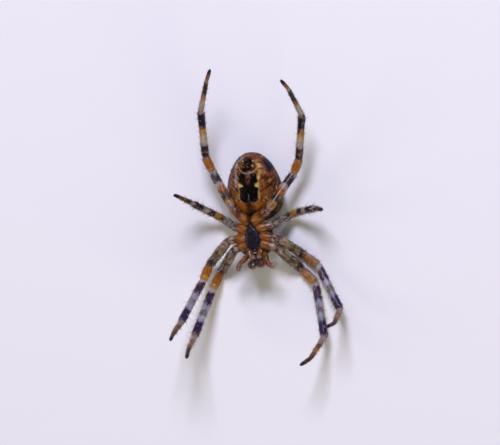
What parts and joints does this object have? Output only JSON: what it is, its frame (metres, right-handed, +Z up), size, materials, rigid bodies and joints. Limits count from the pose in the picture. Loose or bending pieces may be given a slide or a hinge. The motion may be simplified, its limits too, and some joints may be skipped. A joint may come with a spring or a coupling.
{
  "type": "orb weaver spider",
  "caption": "Still life-size model of an orb weaver spider lying on its back, with an egg-shaped abdomen, a shield-backed head and thorax, and slim banded legs drawn up.",
  "frame": {"origin": "the flat of the abdomen's back on which the spider lies", "axes": "+Z up from the floor through the belly, +Y towards the tail end, -X towards the spider's left side"},
  "size_m": [0.0156, 0.0285, 0.0099],
  "materials": {
    "cuticle_brown": "satin, mottled brown and cream",
    "shell_orange": "glossy orange-brown",
    "shell_dark": "glossy violet-black",
    "leg_banded": "satin, banded in dark brown, cream and orange",
    "eye_black": "polished black"
  },
  "bodies": {
    "root": {"abdomen": "cuticle_brown", "spinnerets": "shell_dark", "pedicel": "cuticle_brown", "carapace": "cuticle_brown", "sternum": "shell_dark", "labium": "shell_dark", "maxilla_left": "shell_orange", "maxilla_right": "shell_orange", "chelicera_left": "cuticle_brown", "chelicera_right": "cuticle_brown", "fang_left": "shell_dark", "fang_right": "shell_dark", "eye_front_middle_left": "eye_black", "eye_front_middle_right": "eye_black", "eye_rear_middle_left": "eye_black", "eye_rear_middle_right": "eye_black", "eye_front_side_left": "eye_black", "eye_front_side_right": "eye_black", "eye_rear_side_left": "eye_black", "eye_rear_side_right": "eye_black", "palp_arm_left": "leg_banded", "palp_tip_left": "leg_banded", "palp_arm_right": "leg_banded", "palp_tip_right": "leg_banded", "leg_1_left_coxa": "leg_banded", "leg_1_left_femur": "leg_banded", "leg_1_left_tibia": "leg_banded", "leg_1_left_foot": "leg_banded", "leg_1_right_coxa": "leg_banded", "leg_1_right_femur": "leg_banded", "leg_1_right_tibia": "leg_banded", "leg_1_right_foot": "leg_banded", "leg_2_left_coxa": "leg_banded", "leg_2_left_femur": "leg_banded", "leg_2_left_tibia": "leg_banded", "leg_2_left_foot": "leg_banded", "leg_2_right_coxa": "leg_banded", "leg_2_right_femur": "leg_banded", "leg_2_right_tibia": "leg_banded", "leg_2_right_foot": "leg_banded", "leg_3_left_coxa": "leg_banded", "leg_3_left_femur": "leg_banded", "leg_3_left_tibia": "leg_banded", "leg_3_left_foot": "leg_banded", "leg_3_right_coxa": "leg_banded", "leg_3_right_femur": "leg_banded", "leg_3_right_tibia": "leg_banded", "leg_3_right_foot": "leg_banded", "leg_4_left_coxa": "leg_banded", "leg_4_left_femur": "leg_banded", "leg_4_left_tibia": "leg_banded", "leg_4_left_foot": "leg_banded", "leg_4_right_coxa": "leg_banded", "leg_4_right_femur": "leg_banded", "leg_4_right_tibia": "leg_banded", "leg_4_right_foot": "leg_banded"}
  },
  "joints": []
}
